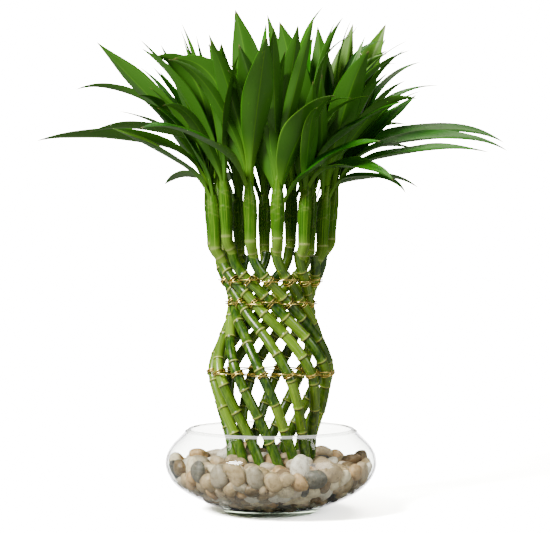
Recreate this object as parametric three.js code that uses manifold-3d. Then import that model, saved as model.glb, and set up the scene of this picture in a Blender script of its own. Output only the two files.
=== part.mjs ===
// Lucky bamboo: fourteen canes, trained into a twisted cage with a waist and a belly, stand in a
// glass bowl of pebbles. Each cane was cut off at the top, and a leafy shoot has grown from the bud
// below the cut. Twisted wires hold the cage at its waist and at its belly.
// Millimetres, +Z up. The origin is the middle of the bowl's flat foot, and the front is -Y.

import * as THREE from "three";
import { mergeVertices } from "three/addons/utils/BufferGeometryUtils.js";
import Module from "manifold-3d";

const wasm = await Module();
wasm.setup();

// ---- Driving dimensions ----

const TOUCH_GAP = 0.45; // between pieces that rest against each other

// The bowl's outer radius at each height: a flat foot, a wide belly and a drawn-in mouth.
const BOWL_OUTLINE = [
  [0, 44.5],
  [5, 50],
  [12.5, 70],
  [21.5, 86],
  [31, 96],
  [44, 101.5],
  [55, 100.5],
  [64, 95.5],
  [74, 86],
  [80, 80],
];
const BOWL_HEIGHT = 80;
const BOWL_WALL = 3;
const BOWL_FLOOR = 5;
const BOWL_SIDES = 28;

// The cage: a cane's distance from the middle, and how far round it has turned, at each height.
const CAGE = [
  [7, 35, 183],
  [32, 36.5, 170],
  [60, 38.5, 155],
  [80, 41.5, 143],
  [107, 50, 129],
  [135, 55.5, 116],
  [155, 51, 104],
  [172, 43.5, 89],
  [190, 38, 64],
  [206, 37, 40],
  [222, 43, 18],
  [237, 48.5, 5],
  [258, 50.5, 0],
];
const CANE_COUNT = 14;
const CANE_RADIUS = 4.9;
const CANE_SIDES = 5;
const CANE_FOOT = 7; // height of its lower end, among the pebbles
const CANE_TOP = 250; // height of the cut, give or take CANE_TOP_SPREAD
const CANE_TOP_SPREAD = 6;
const CANE_SECTIONS = [60, 107, 134, 160, 186, 200, 221]; // between its ends, besides its scars
const FIRST_AZIMUTH = -87.5; // of the top of the cane in front, in degrees from +X
const AZIMUTH_SPREAD = 1.2;
const JOINT_SPACING = 27; // along a cane, between its ring scars
const JOINT_RISE = 0.6; // how far a ring scar stands out of the cane
const JOINT_EDGE = 1.2; // from a scar down to the plain cane below it
const JOINT_CLEARANCE = 5; // of a scar above or below a wire
const JOINT_START = 61; // height of the pebbles' tops, where the scars begin to show
const STUMP = 4; // from the highest scar to the cut, at least

// The wires that hold the cage: each is doubled, and its two strands pass on either side of every
// cane and change sides between them. They are twisted into one between two canes at the back.
// Each tie's reach is how far out from a cane's middle a strand passes it.
const TIES = [
  { name: "tie_belly", height: 134, reach: 6.1 },
  { name: "tie_waist_lower", height: 200, reach: 7.5 },
  { name: "tie_waist_upper", height: 221, reach: 7.6 },
];
const WIRE_RADIUS = 0.65;
const STRAND_OFFSET = 0.9; // of each strand above or below the middle of the pair
const TWIST_OFFSET = 0.3; // the same where they are twisted together
// A strand's path past a cane: how far along the ring, and the share of its reach there.
const WIRE_BEND = [
  [-6.8, 0.74],
  [0, 1],
  [6.8, 0.74],
];

// A shoot's stem: it leaves the cane under the cut, steps out beside the stump and rises.
const STEM_HEIGHT = 76;
const STEM_START = 10; // below the cut
const STEM_STEP = 7.5;
const STEM_STEP_HEIGHT = 16;
const STEM_FLARE = 6; // how far the top leans out
const STEM_SIDES = 5;
// Its radius at each share of its height: the leaf sheaths make it widest near the top.
const STEM_OUTLINE = [
  [0, 4.6],
  [0.2, 5.5],
  [0.7, 6],
  [1, 2.6],
];

// A leaf's half width at each share of its length: a narrow sheath, a broad blade, a drawn-out tip.
const LEAF_OUTLINE = [
  [0, 0.17],
  [0.2, 0.24],
  [0.34, 0.72],
  [0.5, 1],
  [0.66, 0.93],
  [0.82, 0.55],
  [0.93, 0.2],
  [1, 0],
];
const LEAF_THICKNESS = 1.4; // at the midrib; the edges are sharp
const LEAF_ROOT_OFFSET = 2; // of a leaf's foot from the middle of the stem
const LEAF_KNEE = 0.5; // share of its length over which a leaf bends from its sheath to its blade
const LEAF_STEPS = 24;
const LEAF_SECTIONS = [0, 6, 12, 18]; // the steps at which a leaf has a section
const SET_LEAF_SECTIONS = [0, 5, 9, 13, 18];
const LEAF_FOLD = [34, 12]; // how far each half is folded up at the root and at the tip, in degrees
const LEAF_CLEARANCE = 0.8;
const LEAF_TRIES = 40;

// A shoot's leaves, oldest first. Each leaves the stem at a share of its height and heads so many
// degrees round from straight outward. Its sheath and its blade lean so many degrees from upright,
// and the tip droops further.
const HABIT = [
  { root: 0.5, heading: 6, sheathLean: 12, bladeLean: 75, droop: 30, length: 165, width: 27 },
  { root: 0.58, heading: -50, sheathLean: 12, bladeLean: 66, droop: 30, length: 170, width: 29 },
  { root: 0.66, heading: 52, sheathLean: 10, bladeLean: 58, droop: 25, length: 165, width: 30 },
  { root: 0.74, heading: -20, sheathLean: 8, bladeLean: 40, droop: 15, length: 165, width: 31 },
  { root: 0.8, heading: 118, sheathLean: 7, bladeLean: 34, droop: 20, length: 150, width: 29 },
  { root: 0.86, heading: -122, sheathLean: 7, bladeLean: 26, droop: 15, length: 150, width: 28 },
  { root: 0.93, heading: 30, sheathLean: 3, bladeLean: 10, droop: 10, length: 155, width: 26 },
];

// Leaves that stand out in the crown's outline and are set one by one: which cane and which of its
// leaves, and then as in the habit, but with the heading measured round from +X, and with the
// degrees that the blade is rolled about its own length.
const SET_LEAVES = [
  // the long, nearly level ones at the left and the right
  [11, 0, 0.75, 184, 10, 82, 22, 18, 198, 30],
  [12, 0, 0.88, 194, 10, 80, 28, 15, 150, 27],
  [9, 1, 0.97, 172, 14, 58, 50, 25, 188, 20],
  [4, 0, 0.79, -4, 10, 80, 40, 30, 205, 28],
  [3, 0, 0.66, -8, 10, 82, 38, 25, 200, 28],
  [2, 0, 0.6, -12, 10, 80, 24, 20, 186, 26],
  // the rising ones at the left
  [10, 0, 0.95, 182, 14, 44, 0, 40, 178, 32],
  [12, 1, 0.85, 172, 5, 33, 22, 30, 157, 24],
  [9, 0, 0.8, 190, 8, 12, 10, 0, 168, 18],
  [10, 1, 0.7, 128, 10, 36, 20, 0, 150, 26],
  [10, 2, 0.65, 232, 10, 48, 25, 0, 140, 28],
  [11, 1, 0.6, 240, 10, 44, 20, 0, 150, 30],
  [11, 2, 0.75, 150, 8, 26, 10, 30, 150, 26],
  // broad ones that fold over at the front left
  [12, 2, 0.75, 200, 7, 16, 80, 65, 156, 36],
  [13, 0, 0.8, 190, 6, 19, 80, 70, 156, 36],
  // broad ones that face the front
  [13, 1, 0.7, 215, 4, 11, 15, 55, 132, 42],
  [0, 0, 0.6, 180, 3, 13, 10, 75, 150, 36],
  [0, 1, 0.5, 215, 4, 9, 10, 45, 126, 28],
  [0, 2, 0.6, -50, 8, 37, 50, 0, 134, 38],
  [0, 3, 0.45, -20, 14, 58, 35, 25, 130, 30],
  [1, 0, 0.9, -14, 12, 56, 15, 20, 122, 30],
  [1, 6, 0.9, 180, 2, 8, 10, 80, 158, 38],
  // drooping ones at the front right
  [1, 1, 0.8, -30, 16, 92, 40, 20, 106, 30],
  [2, 1, 0.78, -15, 14, 90, 60, 20, 94, 17],
  // the rising ones at the right
  [3, 1, 0.7, -5, 12, 44, 5, 35, 132, 32],
  [4, 1, 0.8, 5, 10, 30, 45, 30, 170, 18],
  [5, 1, 0.93, 10, 14, 50, 40, 20, 180, 18],
  [4, 3, 0.8, -10, 6, 20, 5, 80, 180, 36],
  [5, 3, 0.8, 10, 8, 26, 5, 60, 180, 30],
  // the upright ones
  [2, 6, 0.85, 170, 1, 1, 5, 90, 163, 30],
  [5, 6, 0.9, -10, 4, 12, 10, 60, 168, 22],
  [6, 6, 0.95, 0, 2, 2, 40, 30, 186, 18],
  [6, 5, 0.9, 180, 2, 8, 5, 60, 178, 24],
  [7, 6, 0.95, 180, 3, 9, 5, 80, 184, 40],
  [7, 5, 0.9, 0, 2, 5, 10, 60, 170, 22],
  [8, 6, 0.9, 180, 3, 9, 10, 60, 166, 22],
  [9, 6, 0.9, 160, 5, 13, 10, 40, 170, 18],
  [10, 6, 0.9, 150, 4, 10, 10, 40, 152, 20],
  [12, 6, 0.95, 180, 2, 4, 8, 40, 128, 26],
  [3, 6, 0.9, 0, 2, 5, 8, 60, 158, 26],
  [3, 3, 0.75, -50, 8, 34, 30, 20, 140, 32],
  [2, 3, 0.8, -60, 6, 22, 30, 10, 140, 32],
  // further ones that fill the crown behind them
  [5, 7, 0.75, -95, 6, 20, 20, 0, 132, 30],
  [9, 7, 0.75, -85, 6, 20, 20, 0, 132, 30],
  [6, 7, 0.8, -90, 4, 14, 10, 0, 130, 30],
  [8, 7, 0.8, -90, 4, 14, 10, 0, 130, 30],
  [7, 7, 0.8, -90, 3, 8, 10, 0, 138, 32],
].map(([cane, place, root, heading, sheathLean, bladeLean, droop, roll, length, width]) => ({
  cane, place, root, heading, sheathLean, bladeLean, droop, roll, length, width,
}));

// The pebbles: those on top and those against the glass.
const PEBBLE_LEVEL = 55;
const PEBBLE_CORE_INSET = 9; // of the packed middle from the glass
const PEBBLE_GLASS_GAP = 3.4; // of the outer stones, flat against the rounded glass
const PEBBLE_HALF_SIZES = [16.5, 14, 8];
const TOP_PEBBLES = 20;
const TOP_PEBBLES_RADIUS = 74;
const WALL_PEBBLES = [
  { height: 44, count: 15 },
  { height: 25, count: 12 },
  { height: 12, count: 7 },
];

// ---- Geometry helpers ----

const radians = (degrees) => (degrees * Math.PI) / 180;

// The value of a column of knots, on a smooth curve through them.
function through(knots, column, at) {
  let i = 0;
  while (i < knots.length - 2 && at > knots[i + 1][0]) i += 1;
  const slope = (j) => {
    const before = knots[Math.max(j - 1, 0)];
    const after = knots[Math.min(j + 1, knots.length - 1)];
    return (after[column] - before[column]) / (after[0] - before[0]);
  };
  const [low, high] = [knots[i], knots[i + 1]];
  const span = high[0] - low[0];
  const u = (at - low[0]) / span;
  const rise = (high[column] - low[column]) * u * u * (3 - 2 * u);
  return low[column] + rise + span * u * (1 - u) * (slope(i) * (1 - u) - slope(i + 1) * u);
}

// Random numbers from 0 to 1, always the same for the same seed.
function seeded(seed) {
  const modulus = 2147483647;
  let state = (seed * 69621 + 12345) % modulus;
  const next = () => {
    state = (state * 16807) % modulus;
    return state / modulus;
  };
  next();
  next();
  return next;
}

// A closed surface through rings of points, each wound counter-clockwise as seen from the last
// ring. It ends in a flat cap, or in a tip if one is given. Every diagonal starts at an even point,
// so that the two faces of a thin blade are split alike and can't cross.
function loft(rings, tip) {
  const count = rings[0].length;
  const points = rings.flat();
  const faces = [];
  for (let r = 0; r + 1 < rings.length; r += 1) {
    for (let i = 0; i < count; i += 1) {
      const [a, b] = [r * count + i, r * count + ((i + 1) % count)];
      if (i % 2) faces.push(a, b, a + count, b, b + count, a + count);
      else faces.push(a, b, b + count, a, b + count, a + count);
    }
  }
  const last = (rings.length - 1) * count;
  for (let i = 1; i + 1 < count; i += 1) faces.push(0, i + 1, i);
  if (tip) {
    for (let i = 0; i < count; i += 1) {
      faces.push(last + i, last + ((i + 1) % count), points.length);
    }
    points.push(tip);
  } else {
    for (let i = 1; i + 1 < count; i += 1) faces.push(last, last + i, last + i + 1);
  }
  return new THREE.BufferGeometry().setFromPoints(points).setIndex(faces);
}

// A ring of points square to a path, with its first point away from the middle of the plant.
function ringRound(centre, along, radius, sides) {
  const out = new THREE.Vector3(centre.x, centre.y, 0);
  out.addScaledVector(along, -out.dot(along)).normalize();
  const across = new THREE.Vector3().crossVectors(along, out);
  return Array.from({ length: sides }, (_, i) => {
    const angle = (2 * Math.PI * i) / sides;
    return centre
      .clone()
      .addScaledVector(out, radius * Math.cos(angle))
      .addScaledVector(across, radius * Math.sin(angle));
  });
}

function solidOf(geometry) {
  const bare = new THREE.BufferGeometry().setIndex(geometry.index);
  bare.setAttribute("position", geometry.getAttribute("position"));
  const merged = mergeVertices(bare, 1e-4);
  return new wasm.Manifold(
    new wasm.Mesh({
      numProp: 3,
      vertProperties: merged.attributes.position.array,
      triVerts: new Uint32Array(merged.index.array),
    }),
  );
}

function geometryOf(solid) {
  const mesh = solid.getMesh();
  return new THREE.BufferGeometry()
    .setAttribute("position", new THREE.BufferAttribute(mesh.vertProperties, mesh.numProp))
    .setIndex(new THREE.BufferAttribute(mesh.triVerts, 1));
}

// Joins solids into one. A scrap that a cut left loose is dropped.
function fused(solids, cutters = []) {
  const joined = solids.reduce((whole, solid) => whole.add(solid));
  const cut = cutters.reduce((whole, cutter) => whole.subtract(cutter), joined);
  return cut.decompose().reduce((a, b) => (a.volume() > b.volume() ? a : b));
}

// ---- Glass bowl ----

// The glass's inner surface lies the wall's thickness in from the outline, square to it.
function innerWall(height) {
  const slope = through(BOWL_OUTLINE, 1, height + 0.5) - through(BOWL_OUTLINE, 1, height - 0.5);
  const across = BOWL_WALL / Math.hypot(1, slope);
  return new THREE.Vector2(through(BOWL_OUTLINE, 1, height) - across, height + slope * across);
}

function bowlGeometry() {
  const outside = [0, 2.5, 7, 13, 22, 33, 46, 60, 71];
  const inside = [72, 61, 48, 34, 21, 11];
  const lip = new THREE.Vector2(through(BOWL_OUTLINE, 1, BOWL_HEIGHT) - BOWL_WALL / 2, BOWL_HEIGHT);
  const profile = [
    new THREE.Vector2(0, 0),
    ...outside.map((height) => new THREE.Vector2(through(BOWL_OUTLINE, 1, height), height)),
    lip,
    ...inside.map(innerWall),
    new THREE.Vector2(through(BOWL_OUTLINE, 1, BOWL_FLOOR) - BOWL_WALL, BOWL_FLOOR),
    new THREE.Vector2(0, BOWL_FLOOR),
  ];
  return new THREE.LatheGeometry(profile, BOWL_SIDES).rotateX(Math.PI / 2);
}

// ---- Canes ----

const canes = Array.from({ length: CANE_COUNT }, (_, index) => {
  const draw = seeded(index + 1);
  const jitter = AZIMUTH_SPREAD * (2 * draw() - 1);
  return {
    index,
    azimuth: radians(FIRST_AZIMUTH + (360 / CANE_COUNT) * index + jitter),
    top: CANE_TOP + CANE_TOP_SPREAD * (2 * draw() - 1),
    firstJoint: JOINT_SPACING * (0.3 + 0.7 * draw()),
  };
});

function canePoint(cane, height) {
  const radius = through(CAGE, 1, height);
  const azimuth = cane.azimuth + radians(through(CAGE, 2, height));
  return new THREE.Vector3(radius * Math.cos(azimuth), radius * Math.sin(azimuth), height);
}

function caneRing(cane, height, radius) {
  const along = canePoint(cane, height + 0.5).sub(canePoint(cane, height - 0.5)).normalize();
  return ringRound(canePoint(cane, height), along, radius, CANE_SIDES);
}

// The heights of a cane's ring scars above the pebbles: evenly spaced along it, clear of the wires.
function jointHeights(cane) {
  const heights = [];
  let [travelled, wanted] = [0, cane.firstJoint];
  for (let height = JOINT_START; height < cane.top - STUMP; height += 1) {
    travelled += canePoint(cane, height + 1).distanceTo(canePoint(cane, height));
    const isWired = TIES.some((tie) => Math.abs(tie.height - height) < JOINT_CLEARANCE);
    if (travelled > wanted && !isWired) {
      heights.push(height);
      wanted = travelled + JOINT_SPACING;
    }
  }
  return heights;
}

function caneGeometry(cane, grow = 0) {
  const radius = CANE_RADIUS + grow;
  const heights = [CANE_FOOT - grow, ...CANE_SECTIONS, cane.top + grow];
  const sections = heights.map((height) => [height, radius]);
  for (const height of jointHeights(cane)) {
    const rise = canePoint(cane, height + 1).distanceTo(canePoint(cane, height));
    sections.push([height - JOINT_EDGE / rise, radius], [height, radius + JOINT_RISE]);
  }
  sections.sort((a, b) => a[0] - b[0]);
  return loft(sections.map(([height, radius]) => caneRing(cane, height, radius)));
}

// ---- Shoots ----

function stemPoint(cane, share) {
  const root = canePoint(cane, cane.top - STEM_START);
  const step = Math.min(1, (share * STEM_HEIGHT) / STEM_STEP_HEIGHT);
  const out = STEM_STEP * step * step * (3 - 2 * step) + STEM_FLARE * share ** 3;
  const outward = new THREE.Vector3(Math.cos(cane.azimuth), Math.sin(cane.azimuth), 0);
  return root.addScaledVector(outward, out).setZ(root.z + share * STEM_HEIGHT);
}

function stemGeometry(cane, grow = 0) {
  const rings = [0, 0.2, 0.45, 0.7, 1].map((share) => {
    const along = stemPoint(cane, share + 0.01).sub(stemPoint(cane, share - 0.01)).normalize();
    const radius = through(STEM_OUTLINE, 1, share) + grow;
    return ringRound(stemPoint(cane, share), along, radius, STEM_SIDES);
  });
  return loft(rings);
}

function setLeaf(cane, place) {
  return SET_LEAVES.find((leaf) => leaf.cane === cane.index && leaf.place === place);
}

// How one leaf is held: as its shoot's habit has it, loosely, or as it is set. Each further attempt
// strays more from that.
function leafPose(cane, place, attempt) {
  const draw = seeded(1 + attempt + LEAF_TRIES * (place + HABIT.length * cane.index));
  const set = setLeaf(cane, place);
  const stray = set ? attempt / 8 : 1 + attempt / 8;
  const vary = (spread) => spread * stray * (2 * draw() - 1);
  const leaf = set ?? HABIT[place];
  const mirror = cane.index % 2 ? -1 : 1;
  return {
    isSet: leaf === set,
    root: leaf.root,
    heading: (set ? 0 : cane.azimuth) + radians((set ? 1 : mirror) * leaf.heading + vary(14)),
    sheathLean: radians(leaf.sheathLean),
    bladeLean: radians(leaf.bladeLean + vary(8)),
    droop: radians(leaf.droop + vary(8)),
    sway: radians(vary(12)),
    roll: radians((leaf.roll ?? 0) + vary(16)),
    length: leaf.length + vary(8),
    width: leaf.width + vary(1.5),
  };
}

const smoothStep = (share) => {
  const u = Math.min(1, share);
  return u * u * (3 - 2 * u);
};

// The leaf's sections from root to tip: where each is, and its directions across and upward.
function leafSections(cane, pose) {
  const point = stemPoint(cane, pose.root);
  point.x += LEAF_ROOT_OFFSET * Math.cos(pose.heading);
  point.y += LEAF_ROOT_OFFSET * Math.sin(pose.heading);
  const stride = pose.length / LEAF_STEPS;
  return Array.from({ length: LEAF_STEPS + 1 }, (_, step) => {
    const share = step / LEAF_STEPS;
    const bend = (pose.bladeLean - pose.sheathLean) * smoothStep(share / LEAF_KNEE);
    const lean = pose.sheathLean + bend + pose.droop * Math.max(0, 2 * share - 1) ** 2;
    const heading = pose.heading + pose.sway * share;
    const along = new THREE.Vector3(
      Math.sin(lean) * Math.cos(heading),
      Math.sin(lean) * Math.sin(heading),
      Math.cos(lean),
    );
    const across = new THREE.Vector3(-Math.sin(heading), Math.cos(heading), 0);
    across.applyAxisAngle(along, pose.roll * smoothStep(2 * share));
    if (step) point.addScaledVector(along, stride);
    return {
      centre: point.clone(),
      along,
      across,
      upward: new THREE.Vector3().crossVectors(along, across),
      halfWidth: (through(LEAF_OUTLINE, 1, share) * pose.width) / 2,
      fold: radians(THREE.MathUtils.lerp(...LEAF_FOLD, share)),
    };
  });
}

function leafGeometry(cane, pose, grow = 0) {
  const sections = leafSections(cane, pose);
  const rings = (pose.isSet ? SET_LEAF_SECTIONS : LEAF_SECTIONS).map((step) => {
    const { centre, across, upward, halfWidth, fold } = sections[step];
    const reach = halfWidth + grow;
    const rise = reach * Math.sin(fold);
    const raised = (height) => centre.clone().addScaledVector(upward, height);
    const edge = (side) => raised(rise).addScaledVector(across, side * reach * Math.cos(fold));
    const middle = (side) => raised(side * (LEAF_THICKNESS / 2 + grow));
    return [edge(1), middle(1), edge(-1), middle(-1)];
  });
  const { centre: end, along } = sections[LEAF_STEPS];
  return loft(rings, end.addScaledVector(along, grow));
}

// Grows every leaf that is set, then the others. Each is bent from its habit until it clears the
// other shoots, or left off if it can't.
function growShoots() {
  const boxesApart = (a, b) => [0, 1, 2].some((i) => a.max[i] < b.min[i] || b.max[i] < a.min[i]);
  const grown = [];
  const keep = (cane, geometry) => {
    const solid = solidOf(geometry);
    grown.push({ cane, solid, box: solid.boundingBox() });
  };
  const isClear = (cane, geometry) => {
    const solid = solidOf(geometry);
    const box = solid.boundingBox();
    const isApart = (other) => boxesApart(box, other.box) || solid.intersect(other.solid).isEmpty();
    return grown.every((other) => other.cane === cane || isApart(other));
  };
  const growLeaf = (cane, place) => {
    for (let attempt = 0; attempt < LEAF_TRIES; attempt += 1) {
      const pose = leafPose(cane, place, attempt);
      if (isClear(cane, leafGeometry(cane, pose, LEAF_CLEARANCE))) {
        keep(cane, leafGeometry(cane, pose));
        return;
      }
    }
  };
  for (const cane of canes) keep(cane, stemGeometry(cane));
  for (const { cane, place } of SET_LEAVES) growLeaf(canes[cane], place);
  for (const place of HABIT.keys()) {
    for (const cane of canes) if (!setLeaf(cane, place)) growLeaf(cane, place);
  }
  return canes.map((cane) => {
    const own = grown.filter((piece) => piece.cane === cane).map((piece) => piece.solid);
    return fused(own, [solidOf(caneGeometry(cane, TOUCH_GAP))]);
  });
}

// ---- Pebbles ----

// A stone at a place, with its flat side square to a direction.
function pebbleSolid(centre, facing, draw) {
  const [long, broad, flat] = PEBBLE_HALF_SIZES.map((size) => size * (0.85 + 0.3 * draw()));
  const stone = new THREE.IcosahedronGeometry(1, 0).scale(long, broad, flat);
  stone.rotateZ(2 * Math.PI * draw());
  const turn = new THREE.Quaternion().setFromUnitVectors(new THREE.Vector3(0, 0, 1), facing);
  return solidOf(stone.applyQuaternion(turn).translate(centre.x, centre.y, centre.z));
}

function pebbleBed() {
  const draw = seeded(77);
  const stones = [];
  const goldenAngle = Math.PI * (3 - Math.sqrt(5));
  for (let i = 0; i < TOP_PEBBLES; i += 1) {
    const radius = TOP_PEBBLES_RADIUS * Math.sqrt((i + 0.5) / TOP_PEBBLES);
    const centre = new THREE.Vector3(
      radius * Math.cos(i * goldenAngle),
      radius * Math.sin(i * goldenAngle),
      PEBBLE_LEVEL - 3 + 4 * draw(),
    );
    const facing = new THREE.Vector3(draw() - 0.5, draw() - 0.5, 2).normalize();
    stones.push(pebbleSolid(centre, facing, draw));
  }
  for (const { height, count } of WALL_PEBBLES) {
    for (let i = 0; i < count; i += 1) {
      const angle = (2 * Math.PI * (i + 0.35 * draw())) / count;
      const glass = innerWall(height);
      const higher = innerWall(height + 1).sub(glass).normalize();
      const inset = PEBBLE_HALF_SIZES[2] * 1.15 + PEBBLE_GLASS_GAP;
      const radius = glass.x - higher.y * inset;
      const facing = new THREE.Vector3(
        Math.cos(angle) * higher.y,
        Math.sin(angle) * higher.y,
        -higher.x,
      );
      const centre = new THREE.Vector3(
        radius * Math.cos(angle),
        radius * Math.sin(angle),
        glass.y + higher.x * inset,
      );
      stones.push(pebbleSolid(centre, facing, draw));
    }
  }
  const profile = [
    new THREE.Vector2(0, BOWL_FLOOR + TOUCH_GAP),
    new THREE.Vector2(40, BOWL_FLOOR + TOUCH_GAP),
    ...[14, 24, 36, 48].map((height) => innerWall(height).sub(new THREE.Vector2(PEBBLE_CORE_INSET, 0))),
    new THREE.Vector2(0, PEBBLE_LEVEL - 6),
  ];
  const core = new THREE.LatheGeometry(profile, 20).rotateX(Math.PI / 2);
  const holes = canes.map((cane) => solidOf(caneGeometry(cane, TOUCH_GAP)));
  return fused([solidOf(core), ...stones], holes);
}

// ---- Wires ----

// One strand: a closed loop, made as two half loops. It passes outside or inside the first cane.
function strandSolids({ height, reach }, side) {
  const behind = CANE_COUNT / 2;
  const points = canes.flatMap((cane) => {
    const out = cane.index % 2 ? -side : side;
    return WIRE_BEND.map(([along, share]) => {
      const isTwist = along !== 0 && cane.index === (along > 0 ? behind : behind + 1);
      const centre = canePoint(cane, height + side * (isTwist ? TWIST_OFFSET : STRAND_OFFSET));
      const radius = Math.hypot(centre.x, centre.y);
      const azimuth = Math.atan2(centre.y, centre.x) + along / radius;
      const distance = radius + out * share * reach;
      return centre.set(distance * Math.cos(azimuth), distance * Math.sin(azimuth), centre.z);
    });
  });
  const rings = points.map((point, i) => {
    const before = points.at(i - 1);
    const after = points[(i + 1) % points.length];
    return ringRound(point, after.clone().sub(before).normalize(), WIRE_RADIUS, 3);
  });
  const half = rings.length / 2;
  const halves = [rings.slice(0, half + 1), [...rings.slice(half), rings[0]]];
  return halves.map((part) => solidOf(loft(part)));
}

// ---- The plant ----

const glass = new THREE.MeshStandardMaterial({
  color: "#e6f0ee",
  roughness: 0.03,
  transparent: true,
  opacity: 0.3,
});
const stone = new THREE.MeshStandardMaterial({ color: "#b7a68b", roughness: 0.6 });
const caneSkin = new THREE.MeshStandardMaterial({ color: "#6d9a2a", roughness: 0.4 });
const leafSkin = new THREE.MeshStandardMaterial({ color: "#2f6e17", roughness: 0.35 });
const goldWire = new THREE.MeshStandardMaterial({ color: "#c9a227", roughness: 0.3, metalness: 1 });

const plant = new THREE.Group();
const number = (index) => String(index + 1).padStart(2, "0");
const addPiece = (name, geometry, material) => {
  const mesh = new THREE.Mesh(geometry, material);
  mesh.name = name;
  plant.add(mesh);
};

addPiece("glass_bowl", bowlGeometry(), glass);
addPiece("pebble_bed", geometryOf(pebbleBed()), stone);
for (const cane of canes) addPiece("cane_" + number(cane.index), caneGeometry(cane), caneSkin);
growShoots().forEach((shoot, index) => addPiece("shoot_" + number(index), geometryOf(shoot), leafSkin));
for (const tie of TIES) {
  const strands = [...strandSolids(tie, 1), ...strandSolids(tie, -1)];
  addPiece(tie.name, geometryOf(fused(strands)), goldWire);
}

export default plant;
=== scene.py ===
# Lucky bamboo: fourteen canes, trained into a twisted cage, stand in a glass bowl of pebbles. Each
# cane was cut off at the top and has grown a leafy shoot. Wires hold the cage at its waist and belly.
# Sizes here are millimetres, as in the part's source; meshes are made in metres.

from math import atan2, cos, hypot, pi, radians, sin

import bpy
import numpy as np
from mathutils import Matrix, Vector, kdtree


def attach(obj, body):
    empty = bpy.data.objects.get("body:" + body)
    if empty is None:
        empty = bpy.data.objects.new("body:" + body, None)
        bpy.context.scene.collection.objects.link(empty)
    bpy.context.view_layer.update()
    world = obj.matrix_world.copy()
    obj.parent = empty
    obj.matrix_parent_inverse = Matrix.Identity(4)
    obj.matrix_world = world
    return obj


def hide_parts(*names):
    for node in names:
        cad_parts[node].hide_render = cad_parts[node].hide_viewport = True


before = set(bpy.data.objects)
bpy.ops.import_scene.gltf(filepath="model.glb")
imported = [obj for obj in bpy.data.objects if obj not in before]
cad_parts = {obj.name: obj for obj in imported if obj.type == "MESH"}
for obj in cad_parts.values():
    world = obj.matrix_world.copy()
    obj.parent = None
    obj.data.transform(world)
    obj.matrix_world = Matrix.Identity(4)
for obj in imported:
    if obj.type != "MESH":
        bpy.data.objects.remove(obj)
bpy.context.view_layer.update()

MM = 0.001


# ---- The photographer's camera ----
# It stands in front of the plant at about the height of the cage's waist and looks almost level,
# so that the bowl's mouth shows as a thin ellipse.

CAMERA_PLACE = Vector((3.8, -1500, 225))
CAMERA_AIM = Vector((3.8, 0, 234.7))
CAMERA_LENS = 102.3
PICTURE_WIDTH = 36  # of the camera's sensor

camera = bpy.data.objects.new("camera", bpy.data.cameras.new("camera"))
camera.data.lens = CAMERA_LENS
camera.data.sensor_width = PICTURE_WIDTH
camera.location = CAMERA_PLACE * MM
camera.rotation_euler = (CAMERA_AIM - CAMERA_PLACE).to_track_quat("-Z", "Y").to_euler()
bpy.context.scene.collection.objects.link(camera)
bpy.context.scene.camera = camera


# ---- Glass bowl ----
# A blown glass bowl with a flat foot, a wide belly and a drawn-in mouth. Its lip is fire-polished
# round, and its floor is thicker than its wall. The lip has a partly white material that scatters
# light: a painted highlight, so that the lip shows as bright as in the photograph, which a clear
# glass here doesn't give.

BOWL_OUTLINE = [
    (0, 44.5),
    (5, 50),
    (12.5, 70),
    (21.5, 86),
    (31, 96),
    (44, 101.5),
    (55, 100.5),
    (64, 95.5),
    (74, 86),
    (80, 80),
]
BOWL_HEIGHT = 80
BOWL_WALL = 3
BOWL_FLOOR = 5
BOWL_SIDES = 128
FOOT_CORNER = [(42, 0), (43.8, 0.4)]
OUTER_WALL = (1.5, BOWL_HEIGHT - 2.5, 44)  # its lowest and highest sections, and how many there are
INNER_WALL = (BOWL_HEIGHT - 4, 11, 38)  # the same, downward
FLOOR_CORNER = [(3, 1.2), (-2, 0)]  # from the floor's edge
LIP_STEPS = 8
LIP_ARC = (0.1, 0.8)  # its start and its length, in half turns
LIP_START = 77.2  # faces whose middle is higher are lip
WALL_COLOUR = (0.965, 0.985, 0.975, 1)
FOOT_TINT_AND_SHADE = (0.44, 0.55, 0.39, 1)  # the thick foot's own green tint, made darker by painted shade
FOOT_FADE = (0.004, 0.016)  # heights, in metres, between which the tint and painted shade fade
EDGE_COLOUR = (0.93, 0.925, 0.965, 1)
EDGE_START = 0.7  # from 0, where the glass faces the eye, to 1, where it is seen edge on
# The lip's near-white colour is a painted highlight.
LIP_PAINTED_HIGHLIGHT = (0.97, 0.98, 0.97, 1)
SHADOW_COLOUR = (0.94, 0.95, 0.945, 1)


def through(knots, column, at):
    """The value of a column of knots, on a smooth curve through them."""
    i = 0
    while i < len(knots) - 2 and at > knots[i + 1][0]:
        i += 1

    def slope(j):
        before = knots[max(j - 1, 0)]
        after = knots[min(j + 1, len(knots) - 1)]
        return (after[column] - before[column]) / (after[0] - before[0])

    low, high = knots[i], knots[i + 1]
    span = high[0] - low[0]
    u = (at - low[0]) / span
    rise = (high[column] - low[column]) * u * u * (3 - 2 * u)
    return low[column] + rise + span * u * (1 - u) * (slope(i) * (1 - u) - slope(i + 1) * u)


def outer_wall(height):
    return Vector((through(BOWL_OUTLINE, 1, height), height))


def inner_wall(height):
    """The inner surface, the wall's thickness in from the outer one."""
    slope = through(BOWL_OUTLINE, 1, height + 0.5) - through(BOWL_OUTLINE, 1, height - 0.5)
    across = BOWL_WALL / hypot(1, slope)
    return outer_wall(height) + Vector((-across, slope * across))


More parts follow.
